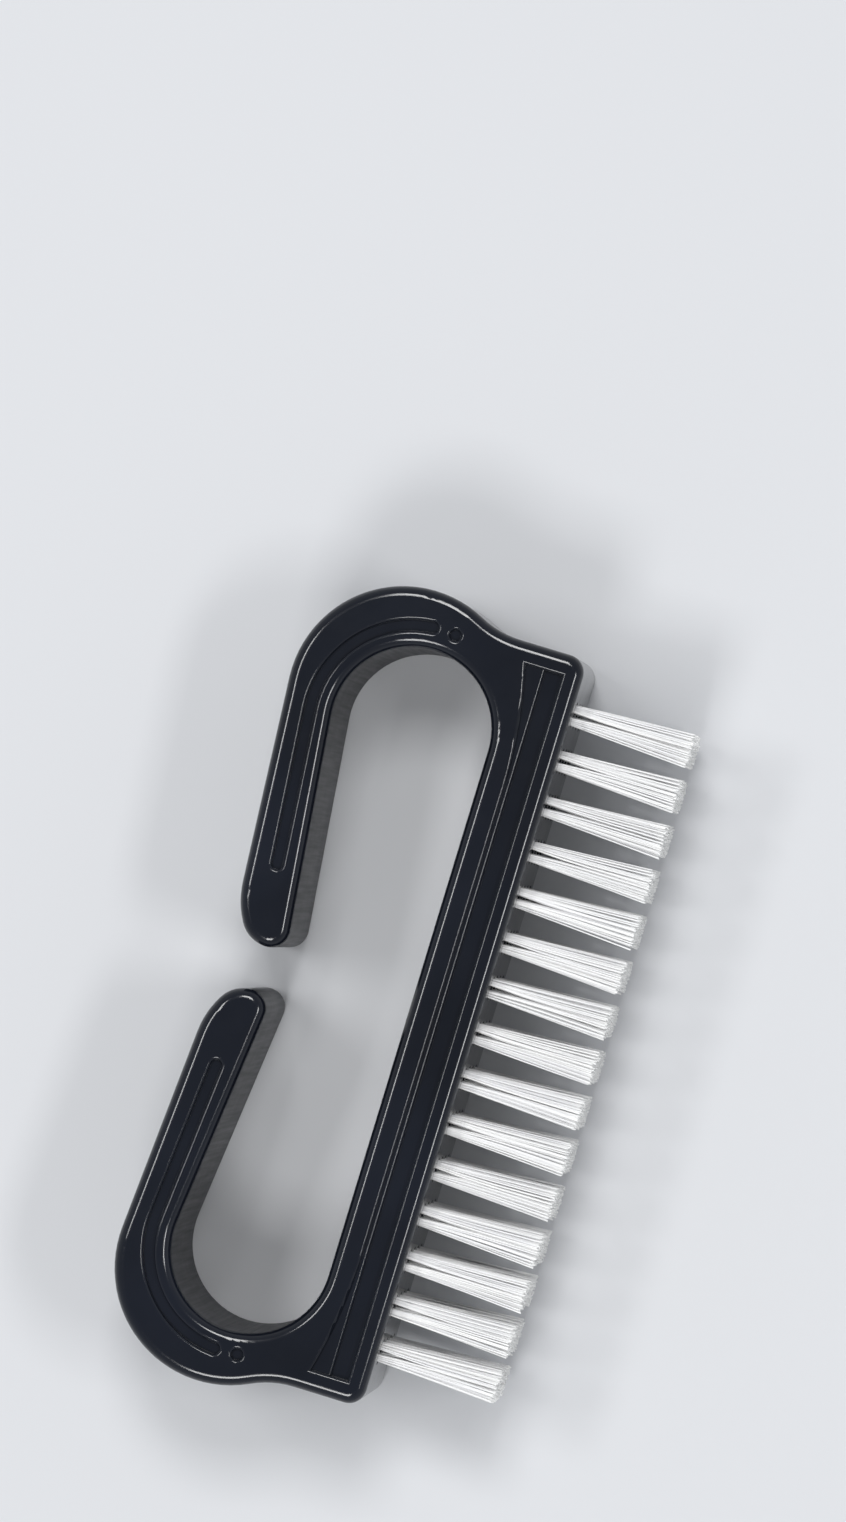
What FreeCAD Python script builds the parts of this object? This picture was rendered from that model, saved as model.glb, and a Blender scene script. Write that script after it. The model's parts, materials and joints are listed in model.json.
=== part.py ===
"""Nail brush: one moulded block with an open finger loop, bristle tufts and the wires that hold them.

The brush lies on its side. X runs along its length, +Y points from the bristles to the handle,
Z runs across its width, and Z = 0 is the side that it lies on. Sizes are millimetres and degrees.
"""
import FreeCAD, Part
import math
import os
from enum import IntEnum

import Sketcher

SIZES = {
    # Moulded block, finger loop and the two arms that nearly close it.
    "block_length": 84.9,
    "block_height": 7.6,
    "block_corner": 2.0,
    "brush_width": 25.0,
    "ring_overhang": 2.45,
    "end_radius": 12.7,
    "end_wall": 6.3,
    "neck_radius": 10.6,
    "loop_height": 17.55,
    "arm_thickness": 5.6,
    "arm_slope": 4.1,
    "arm_taper": 2.0,
    "tip_length": 6.1,
    "shoulder_radius": 10.0,
    "tip_radius": 3.6,
    "tip_gap": 4.9,
    "edge_round": 1.1,
    # Shallow recesses moulded into both sides.
    "recess_edge": 0.35,
    "groove_depth": 0.7,
    "groove_inset": 2.4,
    "groove_width": 1.2,
    "groove_tip_distance": 9.0,
    "groove_foot": 9.6,
    "pin_mark_diameter": 1.2,
    "pin_mark_distance": 2.6,
    "panel_end_inset": 2.4,
    "panel_foot": 2.2,
    "panel_drop": 2.95,
    "panel_rise": 1.7,
    "panel_flare": 13.5,
    "panel_depth": 0.5,
    "strip_drop": 0.55,
    "strip_depth": 0.5,
    # Tufts in rows and columns, each folded over a flat wire in its hole. The columns spread evenly
    # between margins at the block's ends, and as many rows as fit lie within margins at its sides.
    # The fold leaves a gap that closes past the face, and slots part the tuft's rim into strands.
    "column_margin": 6.15,
    "row_pitch": 5.0,
    "row_margin": 4.5,
    "hole_diameter": 2.4,
    "hole_depth": 5.2,
    "hole_chamfer": 0.3,
    "fit_clearance": 0.05,
    "bristle_length": 13.45,
    "tuft_tip_diameter": 3.75,
    "split_length": 3.4,
    "strand_depth": 0.9,
    "strand_gap": 0.25,
    "wire_thickness": 0.4,
    "wire_height": 1.5,
    "wire_bite": 0.2,
    "fold_height": 0.9,
}
COLUMNS = 15
STRANDS = 10

# Places that several features share, as expressions of the sheet's cells.
HALF_BLOCK = "sizes.block_length / 2"
HALF_WIDTH = "sizes.brush_width / 2"
HALF_RING = "(sizes.block_length / 2 + sizes.ring_overhang)"
END_CENTRE_X = HALF_RING + " - sizes.end_radius"
END_CENTRE_Y = "sizes.loop_height + sizes.arm_thickness - sizes.end_radius"
LOOP_RADIUS = "sizes.loop_height / 2"
LOOP_CENTRE_X = HALF_RING + " - sizes.end_wall - sizes.loop_height / 2"
UNDER_SLOPE = "(sizes.arm_slope + sizes.arm_taper) * 1 deg"
GROOVE_SLOPE = "(sizes.arm_slope + sizes.arm_taper / 2) * 1 deg"
GROOVE_RUN = "sizes.loop_height / 2 + sizes.groove_inset"
PANEL_END_X = "sizes.block_length / 2 - sizes.panel_end_inset"
PANEL_FOOT = "sizes.block_height - sizes.panel_foot"
FLOOR_Y = "(sizes.block_height + sizes.bristle_length - sizes.loop_height - sizes.arm_thickness) / 2"
FACE_Y = FLOOR_Y + " - sizes.block_height"
COLUMN_PITCH = f"(sizes.block_length - 2 * sizes.column_margin) / {COLUMNS - 1}"
FIRST_COLUMN_X = "sizes.column_margin - sizes.block_length / 2"
ROWS = "(floor((sizes.brush_width - 2 * sizes.row_margin) / sizes.row_pitch) + 1)"
FIRST_ROW_Z = f"-sizes.row_pitch * ({ROWS} - 1) / 2"
WIRE_MIDDLE_Y = "sizes.hole_depth - sizes.fold_height - sizes.wire_height / 2"
FOLD_TOP = "sizes.hole_depth - sizes.fold_height + sizes.fit_clearance"
FOLD_GAP = "(sizes.wire_thickness / 2 + sizes.fit_clearance)"
TIP_RADIUS = "sizes.tuft_tip_diameter / 2"
ROOT_RADIUS = "sizes.hole_diameter / 2 - sizes.fit_clearance"
ROOT_DEPTH = "sizes.hole_depth - sizes.fit_clearance"

UP = FreeCAD.Vector(0, 0, 1)
# Tolerance for heights, normals and volumes, a short step off an edge, and the share by which the
# volumes of two like cuts may differ.
FLAT = 1e-6
PROBE = 0.01
ALIKE = 0.01


class Axis(IntEnum):
    """The axes of a sketch, as its constraints number them."""
    X = -1
    Y = -2


class Point(IntEnum):
    """The places on a line or an arc of a sketch, as its constraints number them."""
    START = 1
    END = 2
    CENTRE = 3


ORIGIN = (Axis.X, Point.START)


def make_sheet(doc):
    sheet = doc.addObject("Spreadsheet::Sheet", "sizes")
    for row, (alias, value) in enumerate(SIZES.items(), start=1):
        sheet.set(f"A{row}", alias)
        sheet.set(f"B{row}", str(value))
        sheet.setAlias(f"B{row}", alias)
    doc.recompute()


def make_body(doc, name, x="0", y="0", z="0"):
    body = doc.addObject("PartDesign::Body", name)
    body.Label = name
    body.AllowCompound = True
    for axis, place in zip("xyz", (x, y, z)):
        body.setExpression(f".Placement.Base.{axis}", place)
    return body


def origin_part(body, role):
    return next(item for item in body.Origin.OriginFeatures if item.Role == role)


def make_sketch(body, name, x="0", y="0", z="0"):
    """A sketch parallel to the body's XY plane, with its own origin at the place given."""
    sketch = body.newObject("Sketcher::SketchObject", name)
    sketch.AttachmentSupport = [(origin_part(body, "XY_Plane"), "")]
    sketch.MapMode = "FlatFace"
    for axis, place in zip("xyz", (x, y, z)):
        sketch.setExpression(f".AttachmentOffset.Base.{axis}", place)
    return sketch


def line(sketch, start, end):
    return sketch.addGeometry(Part.LineSegment(FreeCAD.Vector(*start, 0), FreeCAD.Vector(*end, 0)))


def arc(sketch, centre, radius, start, end):
    """An arc that runs anticlockwise between two angles in degrees."""
    circle = Part.Circle(FreeCAD.Vector(*centre, 0), UP, radius)
    return sketch.addGeometry(Part.ArcOfCircle(circle, math.radians(start), math.radians(end)))


def hold(sketch, kind, *items):
    sketch.addConstraint(Sketcher.Constraint(kind, *items))


def bind(sketch, kind, items, name, expression):
    """A dimension that follows an expression of the sheet's cells."""
    value = sketch.evalExpression(expression)
    if kind == "Angle":
        value = value.getValueAs("rad").Value
    index = sketch.addConstraint(Sketcher.Constraint(kind, *items, value))
    sketch.renameConstraint(index, name)
    sketch.setExpression(f"Constraints.{name}", expression)


def polygon(sketch, points):
    """Closed straight outline, with level and upright edges held so."""
    count = len(points)
    edges = [line(sketch, points[i], points[(i + 1) % count]) for i in range(count)]
    for i, edge in enumerate(edges):
        start, end = points[i], points[(i + 1) % count]
        hold(sketch, "Coincident", edge, Point.END, edges[(i + 1) % count], Point.START)
        if start[0] == end[0]:
            hold(sketch, "Vertical", edge)
        elif start[1] == end[1]:
            hold(sketch, "Horizontal", edge)
    return edges


def on_circle(centre, radius, degrees):
    angle = math.radians(degrees)
    return (centre[0] + radius * math.cos(angle), centre[1] + radius * math.sin(angle))


def direction(start, end):
    return math.degrees(math.atan2(end[1] - start[1], end[0] - start[0]))


def size_of(sketch, expression):
    return float(sketch.evalExpression(expression))


def finish(doc, body, feature):
    body.Tip = feature
    doc.recompute()
    return feature


def pad(doc, body, sketch, name, length, symmetric=False):
    feature = body.newObject("PartDesign::Pad", name)
    feature.Profile = sketch
    feature.SideType = "Symmetric" if symmetric else "One side"
    feature.setExpression("Length", length)
    return finish(doc, body, feature)


def pocket(doc, body, sketch, name, depth, symmetric=False):
    before = body.Tip.Shape.Volume
    feature = body.newObject("PartDesign::Pocket", name)
    feature.Profile = sketch
    feature.SideType = "Symmetric" if symmetric else "One side"
    feature.setExpression("Length", depth)
    finish(doc, body, feature)
    if feature.Shape.Volume >= before:
        raise RuntimeError(f"{name} cut nothing")
    return feature


def round_edges(doc, body, name, edges, radius):
    base = body.Tip
    feature = body.newObject("PartDesign::Fillet", name)
    feature.Base = (base, edges)
    feature.setExpression("Radius", radius)
    return finish(doc, body, feature)


def mirror(doc, body, name, plane_role):
    feature = body.newObject("PartDesign::Mirrored", name)
    feature.TransformMode = "Whole shape"
    feature.MirrorPlane = (origin_part(body, plane_role), [""])
    return finish(doc, body, feature)


def line_up(body, name, axis_role, pitch, count):
    """A line of evenly spaced copies along an axis of the body."""
    feature = body.newObject("PartDesign::LinearPattern", name)
    feature.Direction = (origin_part(body, axis_role), [""])
    feature.Mode = "Spacing"
    feature.setExpression("Offset", pitch)
    feature.setExpression("Occurrences", count)
    return feature


def pattern_rows(doc, body, name):
    """Repeats the whole body across the brush, once in each row."""
    feature = line_up(body, name, "Z_Axis", "sizes.row_pitch", ROWS)
    feature.TransformMode = "Whole shape"
    return finish(doc, body, feature)


def convex_edges(shape, level):
    """Names of the edges at a height where a level face turns down into a wall."""
    names = []
    for number, edge in enumerate(shape.Edges, start=1):
        box = edge.BoundBox
        on_level = abs(box.ZMin - level) < FLAT and abs(box.ZMax - level) < FLAT
        on_cut = abs(box.XMin) < FLAT and abs(box.XMax) < FLAT
        if not on_level or on_cut:
            continue
        middle = edge.valueAt((edge.FirstParameter + edge.LastParameter) / 2)
        for face in shape.ancestorsOfType(edge, Part.Face):
            normal = face.normalAt(*face.Surface.parameter(middle))
            beside = middle + (normal - UP) * PROBE
            if abs(normal.z) < FLAT and not shape.isInside(beside, FLAT, True):
                names.append(f"Edge{number}")
    return names


def draw_outline(sketch):
    """Right half of the brush seen from its side: block, neck, end, arm, tip and finger loop."""
    end_radius = size_of(sketch, "sizes.end_radius")
    end = (size_of(sketch, END_CENTRE_X), size_of(sketch, END_CENTRE_Y))
    half_block = size_of(sketch, HALF_BLOCK)
    height = size_of(sketch, "sizes.block_height")
    corner = size_of(sketch, "sizes.block_corner")
    neck_radius = size_of(sketch, "sizes.neck_radius")
    loop_radius = size_of(sketch, LOOP_RADIUS)
    loop = (size_of(sketch, LOOP_CENTRE_X), loop_radius)
    slope = size_of(sketch, "sizes.arm_slope")
    under = slope + size_of(sketch, "sizes.arm_taper")
    shoulder_radius = size_of(sketch, "sizes.shoulder_radius")
    tip_radius = size_of(sketch, "sizes.tip_radius")
    nose = size_of(sketch, "sizes.tip_gap / 2")
    shoulder_x = nose + size_of(sketch, "sizes.tip_length")

    # The neck bends out of the block's upright end into the round end of the loop.
    neck_x = half_block + neck_radius
    neck_y = end[1] - math.sqrt((end_radius + neck_radius) ** 2 - (neck_x - end[0]) ** 2)
    neck = (neck_x, neck_y)
    # Three arcs make the tip. A shoulder leaves the arm's top and bends into the tip's own arc, which
    # is upright at the nose. There it meets the chin, which touches the arm's underside.
    upper = on_circle(end, end_radius, 90 + slope)
    lower = on_circle(loop, loop_radius, 90 + under)
    shoulder_y = upper[1] + math.tan(math.radians(slope)) * (shoulder_x - upper[0])
    shoulder = on_circle((shoulder_x, shoulder_y), shoulder_radius, slope - 90)
    tip_x = nose + tip_radius
    rise = math.sqrt((shoulder_radius - tip_radius) ** 2 - (shoulder[0] - tip_x) ** 2)
    tip = (tip_x, shoulder[1] + rise)
    tip_turn = direction(shoulder, tip)
    turn = math.radians(under)
    above = (lower[0] - nose) * math.sin(turn) + (tip[1] - lower[1]) * math.cos(turn)
    chin_radius = above / (1 + math.sin(turn))
    chin = (nose + chin_radius, tip[1])

    neck_turn = direction(neck, end)
    face = line(sketch, (0, -height), (half_block - corner, -height))
    block_corner = arc(sketch, (half_block - corner, corner - height), corner, -90, 0)
    block_end = line(sketch, (half_block, corner - height), (half_block, neck_y))
    neck_arc = arc(sketch, neck, neck_radius, neck_turn, 180)
    end_arc = arc(sketch, end, end_radius, neck_turn - 180, 90 + slope)
    arm_top = line(sketch, (shoulder_x, shoulder_y), upper)
    shoulder_arc = arc(sketch, shoulder, shoulder_radius, 90 + slope, tip_turn)
    tip_arc = arc(sketch, tip, tip_radius, tip_turn, 180)
    chin_arc = arc(sketch, chin, chin_radius, 180, 270 + under)
    arm_under = line(sketch, on_circle(chin, chin_radius, 270 + under), lower)
    loop_arc = arc(sketch, loop, loop_radius, -90, 90 + under)
    loop_floor = line(sketch, (0, 0), (loop[0], 0))
    middle = line(sketch, (0, 0), (0, -height))

    for first, first_end, second, second_end in (
        (face, Point.END, block_corner, Point.START),
        (block_corner, Point.END, block_end, Point.START),
        (block_end, Point.END, neck_arc, Point.END),
        (neck_arc, Point.START, end_arc, Point.START),
        (end_arc, Point.END, arm_top, Point.END),
        (arm_top, Point.START, shoulder_arc, Point.START),
        (shoulder_arc, Point.END, tip_arc, Point.START),
        (tip_arc, Point.END, chin_arc, Point.START),
        (chin_arc, Point.END, arm_under, Point.START),
        (arm_under, Point.END, loop_arc, Point.END),
        (loop_arc, Point.START, loop_floor, Point.END),
    ):
        hold(sketch, "Tangent", first, first_end, second, second_end)
    hold(sketch, "Horizontal", tip_arc, Point.CENTRE, chin_arc, Point.CENTRE)
    hold(sketch, "Coincident", loop_floor, Point.START, *ORIGIN)
    hold(sketch, "Coincident", middle, Point.START, *ORIGIN)
    hold(sketch, "Coincident", middle, Point.END, face, Point.START)
    hold(sketch, "Horizontal", face)
    hold(sketch, "Horizontal", loop_floor)
    hold(sketch, "Vertical", block_end)
    hold(sketch, "Vertical", middle)

    bind(sketch, "DistanceY", (middle, Point.END, *ORIGIN), "height", "sizes.block_height")
    bind(sketch, "DistanceX", (*ORIGIN, block_end, Point.START), "half_block", HALF_BLOCK)
    bind(sketch, "DistanceX", (*ORIGIN, end_arc, Point.CENTRE), "end_x", END_CENTRE_X)
    bind(sketch, "DistanceY", (*ORIGIN, end_arc, Point.CENTRE), "end_y", END_CENTRE_Y)
    bind(sketch, "DistanceX", (*ORIGIN, loop_arc, Point.CENTRE), "loop_x", LOOP_CENTRE_X)
    bind(sketch, "DistanceX", (*ORIGIN, tip_arc, Point.END), "nose", "sizes.tip_gap / 2")
    bind(sketch, "Radius", (block_corner,), "corner_radius", "sizes.block_corner")
    bind(sketch, "Radius", (neck_arc,), "neck_radius", "sizes.neck_radius")
    bind(sketch, "Radius", (end_arc,), "end_radius", "sizes.end_radius")
    bind(sketch, "DistanceX", (tip_arc, Point.END, arm_top, Point.START), "tip_length", "sizes.tip_length")
    bind(sketch, "Radius", (shoulder_arc,), "shoulder_radius", "sizes.shoulder_radius")
    bind(sketch, "Radius", (tip_arc,), "tip_radius", "sizes.tip_radius")
    bind(sketch, "Radius", (loop_arc,), "loop_radius", LOOP_RADIUS)
    bind(sketch, "Angle", (arm_top,), "arm_slope", "sizes.arm_slope * 1 deg")
    bind(sketch, "Angle", (arm_under,), "under_slope", UNDER_SLOPE)


def draw_groove(sketch):
    """Slot with round ends that follows the loop's edge, and the round mark below its foot."""
    centre = (size_of(sketch, LOOP_CENTRE_X), size_of(sketch, LOOP_RADIUS))
    half = size_of(sketch, "sizes.groove_width / 2")
    run = size_of(sketch, GROOVE_RUN)
    slope = size_of(sketch, "sizes.arm_slope + sizes.arm_taper / 2")
    tip_end = size_of(sketch, "sizes.tip_gap / 2 + sizes.groove_tip_distance")
    foot_y = size_of(sketch, "sizes.groove_foot")
    mark_y = foot_y - size_of(sketch, "sizes.pin_mark_distance")
    foot_turn = math.degrees(math.asin((foot_y - centre[1]) / run))
    mark_turn = math.degrees(math.asin((mark_y - centre[1]) / run))
    bend_top = on_circle(centre, run, 90 + slope)
    cap = (tip_end, bend_top[1] + math.tan(math.radians(slope)) * (tip_end - bend_top[0]))
    foot = on_circle(centre, run, foot_turn)

    outer_arc = arc(sketch, centre, run + half, foot_turn, 90 + slope)
    inner_arc = arc(sketch, centre, run - half, foot_turn, 90 + slope)
    outer_line = line(sketch, on_circle(cap, half, 90 + slope), on_circle(centre, run + half, 90 + slope))
    inner_line = line(sketch, on_circle(cap, half, slope - 90), on_circle(centre, run - half, 90 + slope))
    tip_cap = arc(sketch, cap, half, 90 + slope, 270 + slope)
    foot_cap = arc(sketch, foot, half, foot_turn - 180, foot_turn)
    for first, first_end, second, second_end in (
        (outer_arc, Point.END, outer_line, Point.END),
        (inner_arc, Point.END, inner_line, Point.END),
        (outer_line, Point.START, tip_cap, Point.START),
        (inner_line, Point.START, tip_cap, Point.END),
        (inner_arc, Point.START, foot_cap, Point.START),
        (outer_arc, Point.START, foot_cap, Point.END),
    ):
        hold(sketch, "Tangent", first, first_end, second, second_end)
    hold(sketch, "Coincident", outer_arc, Point.CENTRE, inner_arc, Point.CENTRE)
    hold(sketch, "Parallel", outer_line, inner_line)

    mark_place = on_circle(centre, run, mark_turn)
    mark_radius = size_of(sketch, "sizes.pin_mark_diameter / 2")
    mark = sketch.addGeometry(Part.Circle(FreeCAD.Vector(*mark_place, 0), UP, mark_radius))
    spoke = line(sketch, centre, mark_place)
    sketch.setConstruction(spoke, True)
    hold(sketch, "Coincident", spoke, Point.START, outer_arc, Point.CENTRE)
    hold(sketch, "Coincident", spoke, Point.END, mark, Point.CENTRE)

    reach = "sizes.tip_gap / 2 + sizes.groove_tip_distance"
    mark_level = "sizes.groove_foot - sizes.pin_mark_distance"
    bind(sketch, "DistanceX", (*ORIGIN, outer_arc, Point.CENTRE), "bend_x", LOOP_CENTRE_X)
    bind(sketch, "DistanceY", (*ORIGIN, outer_arc, Point.CENTRE), "bend_y", LOOP_RADIUS)
    bind(sketch, "Radius", (outer_arc,), "outer_run", f"{GROOVE_RUN} + sizes.groove_width / 2")
    bind(sketch, "Radius", (inner_arc,), "inner_run", f"{GROOVE_RUN} - sizes.groove_width / 2")
    bind(sketch, "Angle", (outer_line,), "groove_slope", GROOVE_SLOPE)
    bind(sketch, "DistanceX", (*ORIGIN, tip_cap, Point.CENTRE), "tip_reach", reach)
    bind(sketch, "DistanceY", (*ORIGIN, foot_cap, Point.CENTRE), "foot_level", "sizes.groove_foot")
    bind(sketch, "DistanceY", (*ORIGIN, mark, Point.CENTRE), "mark_level", mark_level)
    bind(sketch, "Distance", (spoke,), "mark_run", GROOVE_RUN)
    bind(sketch, "Radius", (mark,), "mark_radius", "sizes.pin_mark_diameter / 2")


def draw_panel(sketch):
    """Right half of the long recess in the block's side, which grows taller towards its end."""
    end_x = size_of(sketch, PANEL_END_X)
    foot = size_of(sketch, PANEL_FOOT)
    drop = size_of(sketch, "sizes.panel_drop")
    rise = size_of(sketch, "sizes.panel_rise")
    flare = size_of(sketch, "sizes.panel_flare")
    radius = (flare ** 2 + rise ** 2) / (2 * rise)
    centre = (end_x - flare, radius - drop)
    corner = (end_x, rise - drop)
    middle = line(sketch, (0, -drop), (0, -foot))
    bottom = line(sketch, (0, -foot), (end_x, -foot))
    end = line(sketch, (end_x, -foot), corner)
    sweep = arc(sketch, centre, radius, -90, direction(centre, corner))
    top = line(sketch, (0, -drop), (end_x - flare, -drop))
    hold(sketch, "Coincident", middle, Point.END, bottom, Point.START)
    hold(sketch, "Coincident", bottom, Point.END, end, Point.START)
    hold(sketch, "Coincident", end, Point.END, sweep, Point.END)
    hold(sketch, "Tangent", top, Point.END, sweep, Point.START)
    hold(sketch, "Coincident", top, Point.START, middle, Point.START)
    hold(sketch, "PointOnObject", middle, Point.START, Axis.Y)
    hold(sketch, "Vertical", middle)
    hold(sketch, "Vertical", end)
    hold(sketch, "Horizontal", bottom)
    hold(sketch, "Horizontal", top)
    bind(sketch, "DistanceX", (*ORIGIN, end, Point.END), "end_x", PANEL_END_X)
    bind(sketch, "DistanceX", (top, Point.END, end, Point.END), "flare", "sizes.panel_flare")
    bind(sketch, "DistanceY", (bottom, Point.START, *ORIGIN), "foot", PANEL_FOOT)
    bind(sketch, "DistanceY", (top, Point.START, *ORIGIN), "drop", "sizes.panel_drop")
    bind(sketch, "DistanceY", (top, Point.END, end, Point.END), "rise", "sizes.panel_rise")


def draw_strip(sketch):
    """Right half of the deeper, straight strip along the foot of the panel."""
    end_x = size_of(sketch, PANEL_END_X)
    foot = size_of(sketch, PANEL_FOOT)
    drop = size_of(sketch, "sizes.panel_drop + sizes.strip_drop")
    bottom, end, top, _ = polygon(sketch, [(0, -foot), (end_x, -foot), (end_x, -drop), (0, -drop)])
    hold(sketch, "PointOnObject", bottom, Point.START, Axis.Y)
    bind(sketch, "DistanceX", (*ORIGIN, end, Point.START), "end_x", PANEL_END_X)
    bind(sketch, "DistanceY", (bottom, Point.START, *ORIGIN), "foot", PANEL_FOOT)
    bind(sketch, "DistanceY", (top, Point.END, *ORIGIN), "drop", "sizes.panel_drop + sizes.strip_drop")


def cut_holes(doc, body):
    """Blind holes for the tufts, with chamfered mouths, one for each row and column."""
    sketch = make_sketch(body, "hole_profile", x=FIRST_COLUMN_X, y="-sizes.block_height", z=FIRST_ROW_Z)
    radius = size_of(sketch, "sizes.hole_diameter / 2")
    chamfer = size_of(sketch, "sizes.hole_chamfer")
    depth = size_of(sketch, "sizes.hole_depth")
    mouth = radius + chamfer
    points = [(0, 0), (mouth, 0), (radius, chamfer), (radius, depth), (0, depth)]
    rim, _, wall, bottom, _ = polygon(sketch, points)
    hold(sketch, "Coincident", rim, Point.START, *ORIGIN)
    bind(sketch, "DistanceX", (*ORIGIN, wall, Point.START), "radius", "sizes.hole_diameter / 2")
    bind(sketch, "DistanceX", (wall, Point.START, rim, Point.END), "chamfer_across", "sizes.hole_chamfer")
    bind(sketch, "DistanceY", (*ORIGIN, wall, Point.START), "chamfer_deep", "sizes.hole_chamfer")
    bind(sketch, "DistanceY", (*ORIGIN, bottom, Point.END), "depth", "sizes.hole_depth")
    before = body.Tip.Shape.Volume
    hole = body.newObject("PartDesign::Groove", "hole")
    hole.Profile = sketch
    hole.ReferenceAxis = (sketch, ["V_Axis"])
    finish(doc, body, hole)
    if hole.Shape.Volume >= before:
        raise RuntimeError("the hole cut nothing")
    holes = body.newObject("PartDesign::MultiTransform", "holes")
    holes.Originals = [hole]
    columns = line_up(body, "hole_columns", "X_Axis", COLUMN_PITCH, str(COLUMNS))
    rows = line_up(body, "hole_rows", "Z_Axis", "sizes.row_pitch", ROWS)
    holes.Transformations = [columns, rows]
    finish(doc, body, holes)
    drilled = (before - hole.Shape.Volume) * columns.Occurrences * rows.Occurrences
    if abs(before - holes.Shape.Volume - drilled) > FLAT * before:
        raise RuntimeError("a hole of the pattern is missing")


def make_brush_body(doc):
    """One moulding: a quarter is drawn, rounded and recessed, then mirrored twice and drilled."""
    body = make_body(doc, "brush_body", y=FLOOR_Y, z=HALF_WIDTH)
    outline = make_sketch(body, "outline")
    draw_outline(outline)
    pad(doc, body, outline, "quarter", HALF_WIDTH)
    level = size_of(outline, HALF_WIDTH)
    round_edges(doc, body, "side_edges", convex_edges(body.Tip.Shape, level), "sizes.edge_round")
    for name, draw, depth in (
        ("groove", draw_groove, "sizes.groove_depth"),
        ("panel", draw_panel, "sizes.panel_depth"),
        ("strip", draw_strip, "sizes.panel_depth + sizes.strip_depth"),
    ):
        sketch = make_sketch(body, f"{name}_outline", z=HALF_WIDTH)
        draw(sketch)
        pocket(doc, body, sketch, name, depth)
    round_edges(doc, body, "recess_edges", convex_edges(body.Tip.Shape, level), "sizes.recess_edge")
    step = level - size_of(outline, "sizes.panel_depth")
    round_edges(doc, body, "strip_edge", convex_edges(body.Tip.Shape, step), "sizes.recess_edge")
    mirror(doc, body, "both_sides", "XY_Plane")
    mirror(doc, body, "both_ends", "YZ_Plane")
    cut_holes(doc, body)
    return body


def column_place(column):
    x = f"{FIRST_COLUMN_X} + {COLUMN_PITCH} * {column}"
    return {"x": x, "y": FACE_Y, "z": f"{HALF_WIDTH} + {FIRST_ROW_Z}"}


def draw_tuft(sketch):
    """Half of a tuft's outline: a root for the hole and a free end that spreads to its tip."""
    root = size_of(sketch, ROOT_RADIUS)
    deep = size_of(sketch, ROOT_DEPTH)
    tip = size_of(sketch, TIP_RADIUS)
    length = size_of(sketch, "sizes.bristle_length")
    points = [(0, -length), (tip, -length), (root, 0), (root, deep), (0, deep)]
    end, _, wall, _, _ = polygon(sketch, points)
    hold(sketch, "PointOnObject", end, Point.START, Axis.Y)
    hold(sketch, "PointOnObject", wall, Point.START, Axis.X)
    bind(sketch, "DistanceX", (*ORIGIN, end, Point.END), "tip", TIP_RADIUS)
    bind(sketch, "DistanceY", (end, Point.START, *ORIGIN), "length", "sizes.bristle_length")
    bind(sketch, "DistanceX", (*ORIGIN, wall, Point.END), "root", ROOT_RADIUS)
    bind(sketch, "DistanceY", (*ORIGIN, wall, Point.END), "deep", ROOT_DEPTH)


def draw_fold_gap(sketch):
    """Gap between the halves of a folded tuft: it holds the wire and closes to a point past the face."""
    half = size_of(sketch, FOLD_GAP)
    top = size_of(sketch, FOLD_TOP)
    closed = size_of(sketch, "sizes.split_length")
    points = [(-half, 0), (0, -closed), (half, 0), (half, top), (-half, top)]
    left, right, side, _, _ = polygon(sketch, points)
    hold(sketch, "PointOnObject", right, Point.START, Axis.Y)
    hold(sketch, "PointOnObject", side, Point.START, Axis.X)
    hold(sketch, "Symmetric", left, Point.START, side, Point.START, Axis.Y)
    bind(sketch, "DistanceX", (*ORIGIN, side, Point.START), "half", FOLD_GAP)
    bind(sketch, "DistanceY", (*ORIGIN, side, Point.END), "top", FOLD_TOP)
    bind(sketch, "DistanceY", (right, Point.START, *ORIGIN), "closed", "sizes.split_length")


def draw_strand_slot(sketch):
    """Slanted cut into a tuft's rim: it starts past the closed fold and is deepest at the tip."""
    outside = f"{TIP_RADIUS} + sizes.strand_gap"
    inside = f"{TIP_RADIUS} - sizes.strand_depth"
    past_tip = "sizes.bristle_length + sizes.strand_gap"
    outer = size_of(sketch, outside)
    start = size_of(sketch, "sizes.split_length")
    past = size_of(sketch, past_tip)
    upright, level, _ = polygon(sketch, [(outer, -start), (outer, -past), (size_of(sketch, inside), -past)])
    bind(sketch, "DistanceX", (*ORIGIN, upright, Point.START), "outer", outside)
    bind(sketch, "DistanceY", (upright, Point.START, *ORIGIN), "start", "sizes.split_length")
    bind(sketch, "DistanceY", (upright, Point.END, *ORIGIN), "past", past_tip)
    bind(sketch, "DistanceX", (*ORIGIN, level, Point.END), "inner", inside)


def make_tufts(doc, column):
    """One column of tufts, each folded over its wire, with a free end that parts into strands."""
    body = make_body(doc, f"tufts_{column + 1:02d}", **column_place(column))
    profile = make_sketch(body, "tuft_profile")
    draw_tuft(profile)
    tuft = body.newObject("PartDesign::Revolution", "tuft")
    tuft.Profile = profile
    tuft.ReferenceAxis = (profile, ["V_Axis"])
    finish(doc, body, tuft)
    gap_outline = make_sketch(body, "gap_outline")
    draw_fold_gap(gap_outline)
    pocket(doc, body, gap_outline, "fold_gap", "sizes.tuft_tip_diameter", symmetric=True)
    before = body.Tip.Shape.Volume
    slot_outline = make_sketch(body, "slot_outline")
    draw_strand_slot(slot_outline)
    slot = pocket(doc, body, slot_outline, "strand_slot", "sizes.strand_gap", symmetric=True)
    strands = body.newObject("PartDesign::PolarPattern", "strands")
    strands.Originals = [slot]
    strands.Axis = (origin_part(body, "Y_Axis"), [""])
    strands.Angle = 360
    strands.Occurrences = STRANDS
    finish(doc, body, strands)
    parted = (before - slot.Shape.Volume) * STRANDS
    if abs(before - strands.Shape.Volume - parted) > ALIKE * parted:
        raise RuntimeError("a slot between the strands is missing")
    pattern_rows(doc, body, "rows")
    return body


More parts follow.
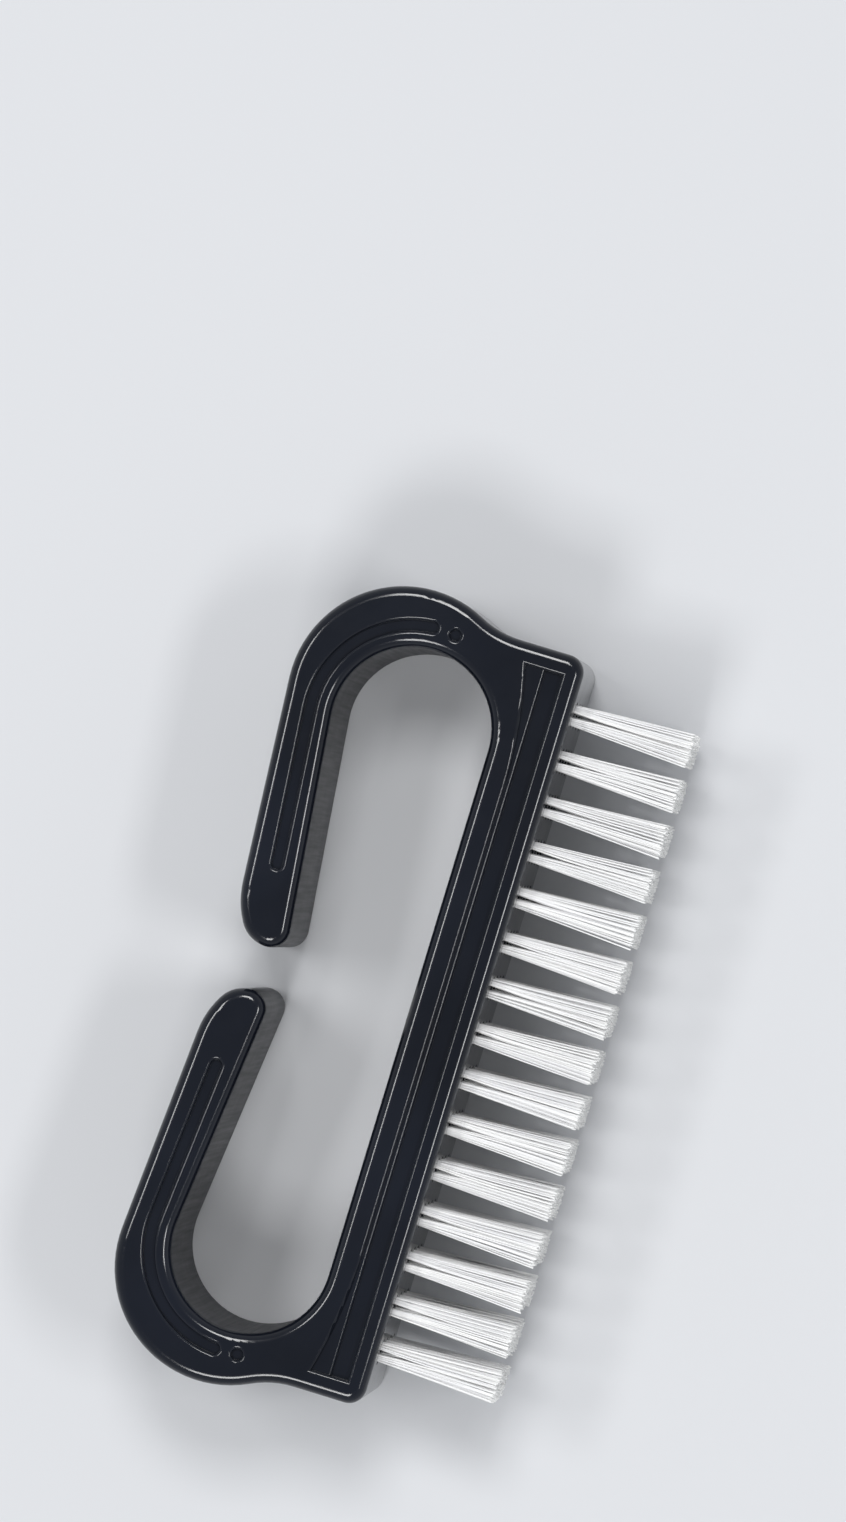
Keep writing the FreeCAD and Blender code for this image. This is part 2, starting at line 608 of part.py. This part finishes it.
def make_wires(doc, column):
    """One column of flat wires, each driven across its hole so that its ends bite into the wall."""
    body = make_body(doc, f"anchor_wires_{column + 1:02d}", **column_place(column))
    sketch = make_sketch(body, "wire_outline", y=WIRE_MIDDLE_Y)
    draw_rectangle(sketch, "sizes.wire_thickness", "sizes.wire_height")
    pad(doc, body, sketch, "wire", "sizes.hole_diameter + 2 * sizes.wire_bite", symmetric=True)
    pattern_rows(doc, body, "rows")
    return body


def draw_rectangle(sketch, across, tall):
    """Rectangle about the sketch's own origin."""
    x = size_of(sketch, f"({across}) / 2")
    y = size_of(sketch, f"({tall}) / 2")
    bottom, right, _, _ = polygon(sketch, [(-x, -y), (x, -y), (x, y), (-x, y)])
    hold(sketch, "Symmetric", bottom, Point.START, right, Point.END, *ORIGIN)
    bind(sketch, "DistanceX", (bottom, Point.START, bottom, Point.END), "across", across)
    bind(sketch, "DistanceY", (right, Point.START, right, Point.END), "tall", tall)


def check(doc, bodies):
    for item in doc.Objects:
        if "Invalid" in item.State or "Error" in item.State:
            raise RuntimeError(f"{item.Label}: {item.State}")
    for body in bodies:
        if body.Shape.isNull() or not body.Shape.isValid():
            raise RuntimeError(f"{body.Label} has no valid shape")


def main():
    doc = FreeCAD.newDocument("nail_brush")
    make_sheet(doc)
    bodies = [make_brush_body(doc)]
    for column in range(COLUMNS):
        bodies.append(make_tufts(doc, column))
        bodies.append(make_wires(doc, column))
    doc.recompute()
    check(doc, bodies)
    os.makedirs("parts", exist_ok=True)
    for body in bodies:
        body.Shape.exportStep(f"parts/{body.Label}.step")
        solids = len(body.Shape.Solids)
        print(body.Label, solids, "solids", round(body.Shape.Volume, 2), "mm3")


main()
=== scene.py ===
# %% [markdown]
# # A nail brush, dressed for its portrait
#
# The brush is one dark plastic moulding with an open finger loop, sixty tufts of white nylon and
# the small wires that hold the tufts in their holes. The solid model gives every place and size.
# Here each surface gets its finish, and the solids that stand for the tufts become real bundles
# of filaments.

# %% Load the solid model
import json
import math

import bpy
from mathutils import Matrix, Vector


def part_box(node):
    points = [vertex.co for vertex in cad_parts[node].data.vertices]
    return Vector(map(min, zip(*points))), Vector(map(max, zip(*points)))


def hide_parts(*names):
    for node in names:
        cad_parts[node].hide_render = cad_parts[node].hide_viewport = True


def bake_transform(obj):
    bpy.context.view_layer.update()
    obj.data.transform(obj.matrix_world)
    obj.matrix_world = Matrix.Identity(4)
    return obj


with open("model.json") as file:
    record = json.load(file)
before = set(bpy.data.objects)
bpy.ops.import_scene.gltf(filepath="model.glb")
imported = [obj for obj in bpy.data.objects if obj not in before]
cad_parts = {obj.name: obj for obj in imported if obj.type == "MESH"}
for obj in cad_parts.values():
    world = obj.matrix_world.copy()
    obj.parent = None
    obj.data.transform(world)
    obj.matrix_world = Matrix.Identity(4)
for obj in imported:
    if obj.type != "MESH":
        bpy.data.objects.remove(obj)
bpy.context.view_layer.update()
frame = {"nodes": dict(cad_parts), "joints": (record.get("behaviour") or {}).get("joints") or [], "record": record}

MM = 0.001
nodes = frame["nodes"]


# %% [markdown]
# ## Where the pieces are
#
# A script that measures the model keeps fitting when the model changes. The face that the
# bristles grow from is the lowest Y of the moulding, and each column of tufts has a hinge there,
# whose place says where the column stands. The wires say where the rows are: the box around a
# column's wires starts at the near end of the first wire and stops at the far end of the last.

# %% Measure the bristle field
ROWS = 4
WIRE_LENGTH = 2.8 * MM
face_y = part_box("brush_body")[0].y
tip_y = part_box("tufts_01")[0].y
columns = [joint for joint in frame["joints"] if joint["name"].startswith("bristle_lean_")]
wires_low, wires_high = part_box("anchor_wires_01")
row_pitch = (wires_high.z - wires_low.z - WIRE_LENGTH) / (ROWS - 1)
first_row_z = wires_low.z + WIRE_LENGTH / 2
print(len(columns), "columns,", ROWS, "rows,", round(row_pitch / MM, 2), "mm apart")

# %% [markdown]
# ## Camera
#
# The picture looks down on the brush from nearly a metre away, with the brush lying on its side
# and its length leaning a little from the picture's upright. A camera is easiest to place by the
# three directions of its picture: right, up, and back towards the eye. The lens follows from the
# distance and from how much of the floor the long side of the picture shows.

# %% Place the camera
LEAN = math.radians(16.95)
SHOWN_LENGTH = 165.4 * MM
SENSOR = 36.0
aim = Vector((26.76, 5.33, 25.0)) * MM
eye = Vector((27.0, -64.0, 925.0)) * MM
scene = bpy.context.scene


def put_in_scene(name, data):
    """A new object in the scene that shows this data."""
    thing = bpy.data.objects.new(name, data)
    scene.collection.objects.link(thing)
    return thing


back = (eye - aim).normalized()
upright = Vector((math.cos(LEAN), math.sin(LEAN), 0.0))
up = (upright - back * upright.dot(back)).normalized()
right = up.cross(back)

camera_data = bpy.data.cameras.new("portrait_camera")
camera_data.sensor_width = SENSOR
camera_data.lens = SENSOR * (eye - aim).length / SHOWN_LENGTH
camera = put_in_scene("portrait_camera", camera_data)
camera.matrix_world = Matrix.Translation(eye) @ Matrix((right, up, back)).transposed().to_4x4()
scene.camera = camera
print("lens", round(camera_data.lens, 1), "mm")

# %% [markdown]
# ## Nodes
#
# Finishes, the sky and the bristles are all made of nodes. One small function that adds a node,
# fills its inputs and makes its links keeps the rest of the script short. A second one starts a
# finish from the Principled shader, which suits plastic, nylon and metal alike.

# %% Helpers that add nodes
def node_adder(tree):
    """A function that adds nodes to this tree, with their settings and inputs by name."""
    def add(kind, inputs=None, **settings):
        node = tree.nodes.new(kind)
        for key, value in settings.items():
            setattr(node, key, value)
        for key, value in (inputs or {}).items():
            value = getattr(value, "socket", value)
            if isinstance(value, bpy.types.NodeSocket):
                tree.links.new(value, node.inputs[key])
            else:
                node.inputs[key].default_value = value
        return node

    return add


def new_finish(name):
    """A material, its Principled shader, and the functions that add and link its nodes."""
    material = bpy.data.materials.new(name)
    material.use_nodes = True
    tree = material.node_tree
    shader = next(node for node in tree.nodes if node.type == "BSDF_PRINCIPLED")
    return material, shader, node_adder(tree), tree.links.new


# %% [markdown]
# ## Floor
#
# A pale, dull floor suits a glossy dark thing, because it shows the shadow and no reflection. One
# large square is enough. It lies a hair below the brush, so that the two faces don't share a plane.

# %% Floor
FLOOR_REACH = 2.0
FLOOR_DROP = 0.02 * MM
FLOOR_COLOUR = (0.69, 0.70, 0.72, 1.0)
corner_signs = ((-1, -1), (1, -1), (1, 1), (-1, 1))
corners = [(x * FLOOR_REACH, y * FLOOR_REACH, -FLOOR_DROP) for x, y in corner_signs]
floor_mesh = bpy.data.meshes.new("floor")
floor_mesh.from_pydata(corners, [], [(0, 1, 2, 3)])
floor = put_in_scene("floor", floor_mesh)
floor_finish, shader, add, link = new_finish("pale_floor")
shader.inputs["Base Color"].default_value = FLOOR_COLOUR
shader.inputs["Roughness"].default_value = 0.7
shader.inputs["Specular IOR Level"].default_value = 0.2
floor_mesh.materials.append(floor_finish)
print("floor", 2 * FLOOR_REACH, "m wide")

# %% [markdown]
# ## Sky
#
# The sky fills the shadows and shows in every polished face. An even sky would be simpler, but the
# flat side of the brush mirrors what is straight above it and has to stay dark. So the sky is
# bright at the horizon and dim overhead.

# %% Sky
HORIZON_COLOUR = (0.93, 0.96, 1.0, 1.0)
ZENITH_COLOUR = (0.22, 0.23, 0.25, 1.0)
SKY_STRENGTH = 0.6


def colour_blend(add, factor, low, high, start=0.0, end=1.0):
    """A colour from low to high as the factor goes from start to end."""
    node = add("ShaderNodeValToRGB", {"Fac": factor})
    first, last = node.color_ramp.elements
    first.position, last.position = start, end
    first.color, last.color = low, high
    return node.outputs["Color"]


world = bpy.data.worlds.new("soft_room")
world.use_nodes = True
sky = world.node_tree.nodes["Background"]
add = node_adder(world.node_tree)
ray = add("ShaderNodeTexCoord").outputs["Generated"]
height = add("ShaderNodeSeparateXYZ", {"Vector": ray}).outputs["Z"]
sky_colour = colour_blend(add, height, HORIZON_COLOUR, ZENITH_COLOUR)
world.node_tree.links.new(sky_colour, sky.inputs["Color"])
sky.inputs["Strength"].default_value = SKY_STRENGTH
scene.world = world
scene.view_settings.view_transform = "Standard"
print("sky strength", SKY_STRENGTH)

# %% [markdown]
# ## Lamps
#
# Soft lamps draw thin bright lines on rounded edges. One lamp stands off each end and each side, so
# that every edge has a lamp across from it. The finger loop is as deep as the brush is wide, so the
# lamps stand high, from where they reach the floor inside it. The light as a whole is kept at a
# level at which a white surface looks white and no more.

# %% Lamps
# Each lamp has a name, a place and a size in metres, and a power in watts.
LAMPS = (
    ("key_lamp", (0.33, 0.08, 0.84), (0.22, 0.22), 2.4),
    ("far_lamp", (-0.42, 0.0, 0.78), (0.22, 0.22), 2.2),
    ("back_lamp", (0.04, 0.40, 0.81), (0.26, 0.12), 1.5),
    ("front_lamp", (0.04, -0.46, 0.80), (0.26, 0.12), 1.65),
)


def soft_lamp(name, place, size, power):
    """A rectangular lamp that faces the middle of the picture."""
    data = bpy.data.lights.new(name, "AREA")
    data.shape = "RECTANGLE"
    data.size, data.size_y = size
    data.energy = power
    lamp = put_in_scene(name, data)
    lamp.location = place
    lamp.rotation_mode = "QUATERNION"
    lamp.rotation_quaternion = (Vector(place) - aim).to_track_quat("Z", "Y")


for lamp_settings in LAMPS:
    soft_lamp(*lamp_settings)
print(len(LAMPS), "lamps")

# %% [markdown]
# ## Moulded plastic
#
# The handle is a near-black navy plastic with a polished skin. Its shape, with the rounded edges,
# the grooves and the long side panels, is already in the solid model, so its mesh stays and only
# the finish is new. Polished mouldings are never quite even: the colour clouds a little, the gloss
# is duller in faint patches, and the skin has a fine ripple that breaks up long reflections.

# %% Navy colour
DEEP_NAVY = (0.0062, 0.0078, 0.0125, 1.0)
PALE_NAVY = (0.0095, 0.0120, 0.0195, 1.0)


def noise(add, place, scale, detail, roughness=0.5):
    """Soft noise with about this many clouds along one unit of the place."""
    settings = {"Vector": place, "Scale": scale, "Detail": detail, "Roughness": roughness}
    return add("ShaderNodeTexNoise", settings).outputs["Fac"]


plastic, shader, add, link = new_finish("navy_plastic")
coordinates = add("ShaderNodeTexCoord")
place = coordinates.outputs["Object"]
cloud = noise(add, place, scale=55.0, detail=3.0)
navy = colour_blend(add, cloud, DEEP_NAVY, PALE_NAVY, start=0.35, end=0.7)
link(navy, shader.inputs["Base Color"])
shader.inputs["IOR"].default_value = 1.5
print("plastic from", DEEP_NAVY[:3], "to", PALE_NAVY[:3])

# %% [markdown]
# The walls inside the loop came off the mould's core, which is less polished, so they are duller,
# with faint lines the way the core was drawn. They could be painted by hand, but a rule finds them
# too: such a wall's normal lies level and points towards the middle of the loop.

# %% Find the walls inside the loop
SLOPING, UPRIGHT = 0.6, 0.2
INWARD_BY = 2.0 * MM


def progress(add, value, zero_at, one_at):
    """How far a value has come from one limit to another, held between 0 and 1."""
    node = add("ShaderNodeMapRange", {"Value": value, "From Min": zero_at, "From Max": one_at})
    return node.outputs["Result"]


openings = {opening["name"]: opening for opening in frame["record"]["physics"]["openings"]}
loop_low, loop_high = openings["finger_loop"]["box_m"]
loop_middle = (Vector(loop_low) + Vector(loop_high)) / 2
normal = coordinates.outputs["Normal"]
tilt = add("ShaderNodeSeparateXYZ", {"Vector": normal}).outputs["Z"]
flatness = add("ShaderNodeMath", {0: tilt}, operation="ABSOLUTE").outputs[0]
wall = progress(add, flatness, zero_at=SLOPING, one_at=UPRIGHT)
to_middle = add("ShaderNodeVectorMath", {0: loop_middle, 1: place}, operation="SUBTRACT").outputs["Vector"]
turned_in = add("ShaderNodeVectorMath", {0: to_middle, 1: normal}, operation="DOT_PRODUCT").outputs["Value"]
inner = progress(add, turned_in, zero_at=0.0, one_at=INWARD_BY)
core_wall = add("ShaderNodeMath", {0: wall, 1: inner}, operation="MULTIPLY").outputs[0]
print("middle of the loop", [round(v / MM, 1) for v in loop_middle], "mm")

# %% [markdown]
# Roughness sets the gloss. Noise moves it a little from patch to patch, and the walls inside the
# loop add their own dullness to it. Their lines are noise as well, read from a place that is scaled
# so that its clouds are long and thin. The ripple is only a bump, because it is far too shallow for
# the mesh.

# %% Polish and ripple
POLISH = (0.08, 0.18)
CORE_DULLNESS = (0.22, 0.42)
DRAG_LINES = (2500.0, 2500.0, 60.0)
RIPPLE_HEIGHT = 0.02 * MM
RIPPLE_STRENGTH = 0.12


def between(add, factor, low, high):
    """A value from low to high as the factor goes from 0 to 1."""
    node = add("ShaderNodeMapRange", {"Value": factor, "To Min": low, "To Max": high})
    return node.outputs["Result"]


gloss = between(add, noise(add, place, scale=260.0, detail=5.0, roughness=0.6), *POLISH)
drawn = add("ShaderNodeMapping", {"Vector": place, "Scale": DRAG_LINES}).outputs["Vector"]
dullness = between(add, noise(add, drawn, scale=1.0, detail=2.0), *CORE_DULLNESS)
skin = add("ShaderNodeMath", {0: core_wall, 1: dullness, 2: gloss}, operation="MULTIPLY_ADD")
link(skin.outputs[0], shader.inputs["Roughness"])
ripple = noise(add, place, scale=900.0, detail=2.0)
bump = add("ShaderNodeBump", {"Height": ripple, "Strength": RIPPLE_STRENGTH, "Distance": RIPPLE_HEIGHT})
link(bump.outputs["Normal"], shader.inputs["Normal"])
nodes["brush_body"].material_slots[0].material = plastic
print("moulding", len(nodes["brush_body"].data.polygons), "faces")

# %% [markdown]
# ## Filaments
#
# A tuft is a bunch of straight nylon filaments, folded round a flat wire and driven into a hole, so
# each filament goes in on one side of the wire and comes out on the other. That gives a tuft its
# two halves. They could be copied and turned one by one, or grown as hair, but a rule is shorter:
# each filament takes a place in a half disc, runs in along one leg, round the wire and out along
# the other. Geometry Nodes work that rule out for every filament at once. Long formulas are hard to
# follow as nodes, so a small class lets the script write them as sums.

# %% Write node formulas like sums
class Field:
    """A socket of a node tree that adds, multiplies and so on by making Math nodes."""

    def __init__(self, tree, socket):
        self.tree, self.socket = tree, socket

    def math(self, operation, *others):
        node = self.tree.nodes.new("ShaderNodeMath")
        node.operation = operation
        for slot, value in zip(node.inputs, (self, *others)):
            if isinstance(value, Field):
                self.tree.links.new(value.socket, slot)
            else:
                slot.default_value = value
        return Field(self.tree, node.outputs[0])

    def __add__(self, other):
        return self.math("ADD", other)

    def __sub__(self, other):
        return self.math("SUBTRACT", other)

    def __mul__(self, other):
        return self.math("MULTIPLY", other)

    def __truediv__(self, other):
        return self.math("DIVIDE", other)

    def __pow__(self, other):
        return self.math("POWER", other)

    def unit(self):
        """Held between 0 and 1."""
        return self.math("MINIMUM", 1.0).math("MAXIMUM", 0.0)


# %% [markdown]
# The tree has a named input for every number, every size and the finish, so that one rule serves
# all the columns and any of them can be changed from outside.

# %% Name the tree's inputs
INPUTS = {
    "Int": ("Filaments", "Rows", "Seed"),
    "Float": ("Row pitch", "Column X", "Face Y", "First row Z", "Root radius", "Tip radius", "Free length",
              "Fold depth", "Fold spread", "Half gap", "Filament radius", "Trim", "Stray"),
    "Material": ("Finish",),
}
tree = bpy.data.node_groups.new("bristle_tufts", "GeometryNodeTree")
tree.is_modifier = True
sockets = {}
for kind, labels in INPUTS.items():
    for label in labels:
        sockets[label] = tree.interface.new_socket(label, in_out="INPUT", socket_type=f"NodeSocket{kind}")
tree.interface.new_socket("Geometry", in_out="OUTPUT", socket_type="NodeSocketGeometry")
grow = node_adder(tree)
group_input = grow("NodeGroupInput")
group_output = grow("NodeGroupOutput")


def given(label):
    """One of the tree's inputs, ready for a formula."""
    return Field(tree, group_input.outputs[label])


print("bristle tree", len(sockets), "inputs")

# %% [markdown]
# The tree starts from one straight curve and copies it once for every filament. Each copy knows its
# own number, and each of its points knows how far along it lies, so the formulas can move the
# points to where they belong.

# %% Copy one curve for each filament
STATIONS = 13
line = grow("GeometryNodeCurvePrimitiveLine", {"End": (0.0, 0.0, 1.0)}).outputs["Curve"]
strand = grow("GeometryNodeResampleCurve", {"Curve": line, "Count": STATIONS}).outputs["Curve"]
seats = grow("GeometryNodePoints", {"Count": given("Filaments") * given("Rows")}).outputs[0]
copies = grow("GeometryNodeInstanceOnPoints", {"Points": seats, "Instance": strand}).outputs["Instances"]
strands = grow("GeometryNodeRealizeInstances", {"Geometry": copies}).outputs["Geometry"]

number = Field(tree, grow("GeometryNodeCurveOfPoint").outputs["Curve Index"])
along = Field(tree, grow("GeometryNodeSplineParameter").outputs["Factor"]) * 2.0 - 1.0
side = along.math("SIGN")
reach = along.math("ABSOLUTE")
row = (number / given("Filaments")).math("FLOOR")
filament = number - row * given("Filaments")
print("bristle tree", len(tree.nodes), "nodes so far")

# %% [markdown]
# A golden-ratio step spreads the filaments evenly over the half disc, with no rows or clumps.
# Small random numbers, fixed by a seed, then let every leg stray and end a little differently,
# as cut nylon does.

# %% Seat each leg in its half disc
GOLDEN = 0.618034
LOOSENESS = 0.07


def chance(low, high, draw):
    """A random number for each leg of each filament, another one for each draw."""
    leg = number * 2.0 + (side * 0.5 + 0.5)
    settings = {2: low, 3: high, "ID": leg, "Seed": given("Seed") + draw}
    return Field(tree, grow("FunctionNodeRandomValue", settings, data_type="FLOAT").outputs[1])


radial = ((filament + 0.5) / given("Filaments")).math("SQRT")
turn = ((filament * GOLDEN).math("FRACT") - 0.5) * math.pi
from_wire = radial * turn.math("COSINE") + chance(-LOOSENESS, LOOSENESS, 1)
along_wire = radial * turn.math("SINE") + chance(-LOOSENESS, LOOSENESS, 2)
print("bristle tree", len(tree.nodes), "nodes so far")

# %% [markdown]
# The first third of a leg is the fold inside the hole and the rest stands free. At the wire the two
# legs meet. Outside the hole they keep a gap that closes on the way out, spread towards the tip, and
# sway more the further out they are.

# %% Lead each leg round the wire and out to its tip
FOLD_SHARE = 1.0 / 3.0
FOLD_SQUARENESS = 3.3
SPLIT_SHARE = 0.36
inside = (reach / FOLD_SHARE).unit()
outside = ((reach - FOLD_SHARE) / (1.0 - FOLD_SHARE)).unit()
spread = given("Root radius") + (given("Tip radius") - given("Root radius")) * outside
gap = given("Half gap") * (outside / SPLIT_SHARE * -1.0 + 1.0).unit()
over_wire = (reach * (2.0 / FOLD_SHARE)).unit()
sway = outside ** 2.0

x = side * (gap + (spread - gap) * from_wire) * over_wire + chance(-1.0, 1.0, 3) * given("Stray") * sway
fold = given("Fold depth") + given("Fold spread") * from_wire
free = given("Free length") - given("Trim") * chance(0.0, 1.0, 4)
y = fold * (inside ** FOLD_SQUARENESS * -1.0 + 1.0) - free * outside
z = spread * along_wire + row * given("Row pitch") + chance(-1.0, 1.0, 5) * given("Stray") * sway
where = grow("ShaderNodeCombineXYZ", {
    "X": given("Column X") + x, "Y": given("Face Y") + y, "Z": given("First row Z") + z}).outputs["Vector"]
placed = grow("GeometryNodeSetPosition", {"Geometry": strands, "Position": where}).outputs["Geometry"]
print("bristle tree", len(tree.nodes), "nodes so far")

# %% [markdown]
# A curve has no surface until a profile runs along it, and five sides are enough for so thin a one.
# Before that, two numbers are stored on every point, a shade for its leg and how far out it lies,
# because the finish can read them from the mesh afterwards. The tree ends with real geometry that
# has its material.

# %% Give the filaments thickness, a shade each, and their finish
SIDES = 5


def remember(curves, name, value):
    """The curves with a number stored on every point."""
    settings = {"Geometry": curves, "Name": name, "Value": value}
    node = grow("GeometryNodeStoreNamedAttribute", settings, data_type="FLOAT", domain="POINT")
    return node.outputs["Geometry"]


shaded = remember(placed, "filament_shade", chance(0.0, 1.0, 6))
marked = remember(shaded, "filament_reach", outside)
ring = {"Resolution": SIDES, "Radius": given("Filament radius")}
profile = grow("GeometryNodeCurvePrimitiveCircle", ring).outputs["Curve"]
tubes = grow("GeometryNodeCurveToMesh", {"Curve": marked, "Profile Curve": profile, "Fill Caps": True})
whole = grow("GeometryNodeRealizeInstances", {"Geometry": tubes.outputs["Mesh"]}).outputs["Geometry"]
finished = grow("GeometryNodeSetMaterial", {"Geometry": whole, "Material": given("Finish")})
tree.links.new(finished.outputs["Geometry"], group_output.inputs["Geometry"])
print("bristle tree", len(tree.nodes), "nodes")

# %% [markdown]
# ## White nylon
#
# Nylon filaments are milky and a little glossy. Side by side they differ slightly in brightness,
# because each one catches the light and its neighbours' shade in its own way, and towards their cut
# ends they are painted paler, a painted glow of the light that comes through the thin tips. The two
# numbers that the tree stored on every filament drive those differences.

# %% White nylon
MILK_WHITE = (0.90, 0.90, 0.91, 1.0)
CLEAR_WHITE = (0.96, 0.96, 0.95, 1.0)
TIP_GLOW_WHITE = (0.97, 0.97, 0.96, 1.0)
TIP_GLOW_FROM = 0.9
NYLON_GLOSS = (0.38, 0.55)
nylon, shader, add, link = new_finish("white_nylon")
own_shade = add("ShaderNodeAttribute", attribute_name="filament_shade").outputs["Fac"]
reach_mark = add("ShaderNodeAttribute", attribute_name="filament_reach").outputs["Fac"]
whites = colour_blend(add, own_shade, MILK_WHITE, CLEAR_WHITE)
# Painted glow: the outer tenth of each filament is painted paler, for the light that comes through the thin tips.
painted_tip_glow = progress(add, reach_mark, zero_at=TIP_GLOW_FROM, one_at=1.0)
whites_and_tip_glow = add("ShaderNodeMix", {"Factor": painted_tip_glow, "A": whites, "B": TIP_GLOW_WHITE}, data_type="RGBA")
link(whites_and_tip_glow.outputs["Result"], shader.inputs["Base Color"])
place = add("ShaderNodeTexCoord").outputs["Object"]
sheen = between(add, noise(add, place, scale=1500.0, detail=2.0), *NYLON_GLOSS)
link(sheen, shader.inputs["Roughness"])
shader.inputs["IOR"].default_value = 1.53
print("nylon from", MILK_WHITE[:3], "to", TIP_GLOW_WHITE[:3])

# %% [markdown]
# ## Tufts
#
# A tuft leaves its hole narrow and spreads towards its tip, where the trimming leaves it level to
# a few tenths of a millimetre. All tufts share their sizes. The field's own sizes are measured on
# the solid model, and the fine ones are given here.

# %% Sizes of a tuft
FILAMENT_RADIUS = 0.1 * MM
TIP_SPREAD = 1.875 * MM
FREE_LENGTH = face_y - tip_y
tuft_sizes = {
    "Filaments": 52,
    "Rows": ROWS,
    "Row pitch": row_pitch,
    "Face Y": face_y,
    "First row Z": first_row_z,
    "Root radius": 1.05 * MM,
    "Tip radius": TIP_SPREAD - FILAMENT_RADIUS,
    "Free length": FREE_LENGTH,
    "Fold depth": 4.45 * MM,
    "Fold spread": 0.55 * MM,
    "Half gap": 0.3 * MM,
    "Filament radius": FILAMENT_RADIUS,
    "Trim": 0.35 * MM,
    "Stray": 0.15 * MM,
    "Finish": nylon,
}
print("free length", round(FREE_LENGTH / MM, 2), "mm")

# %% [markdown]
# One object for each column holds that column's filaments. The modifier's inputs are set by
# their identifiers, the result becomes a plain mesh, and the column's solid is hidden.

# %% Grow the tufts
SEED_STEP = 17


def grow_column(name, column_x, seed):
    """A plain mesh of one column's filaments, in an object at the origin."""
    holder = put_in_scene(f"{name}_rule", bpy.data.meshes.new(f"{name}_rule"))
    modifier = holder.modifiers.new("tufts", "NODES")
    modifier.node_group = tree
    for label, value in {**tuft_sizes, "Column X": column_x, "Seed": seed}.items():
        modifier[sockets[label].identifier] = value
    depsgraph = bpy.context.evaluated_depsgraph_get()
    mesh = bpy.data.meshes.new_from_object(
        holder.evaluated_get(depsgraph), preserve_all_data_layers=True, depsgraph=depsgraph)
    bpy.data.objects.remove(holder)
    mesh.name = name
    return put_in_scene(name, mesh)


for number_of_column, joint in enumerate(columns, start=1):
    pivot = Vector(joint["pos_m"])
    piece = grow_column(f"filaments_{number_of_column:02d}", pivot.x, number_of_column * SEED_STEP)
    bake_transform(piece)
    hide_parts(f"tufts_{number_of_column:02d}")
print(len(piece.data.polygons), "faces in a column")

# %% [markdown]
# ## Anchor wires
#
# The wires sit deep in the holes, inside the folds, and hardly show. They keep their solid shape
# and get the look of drawn metal: bright, with fine lines along the wire.

# %% Drawn metal
WIRE_COLOUR = (0.56, 0.55, 0.53, 1.0)
WIRE_LINES = (6000.0, 6000.0, 300.0)
WIRE_GLOSS = (0.22, 0.45)
metal, shader, add, link = new_finish("drawn_metal")
place = add("ShaderNodeTexCoord").outputs["Object"]
stretched = add("ShaderNodeMapping", {"Vector": place, "Scale": WIRE_LINES}).outputs["Vector"]
lines = noise(add, stretched, scale=1.0, detail=3.0)
link(between(add, lines, *WIRE_GLOSS), shader.inputs["Roughness"])
shader.inputs["Base Color"].default_value = WIRE_COLOUR
shader.inputs["Metallic"].default_value = 1.0
wires = [node for name, node in nodes.items() if name.startswith("anchor_wires_")]
for wire in wires:
    wire.material_slots[0].material = metal
print(len(wires), "columns of wires")
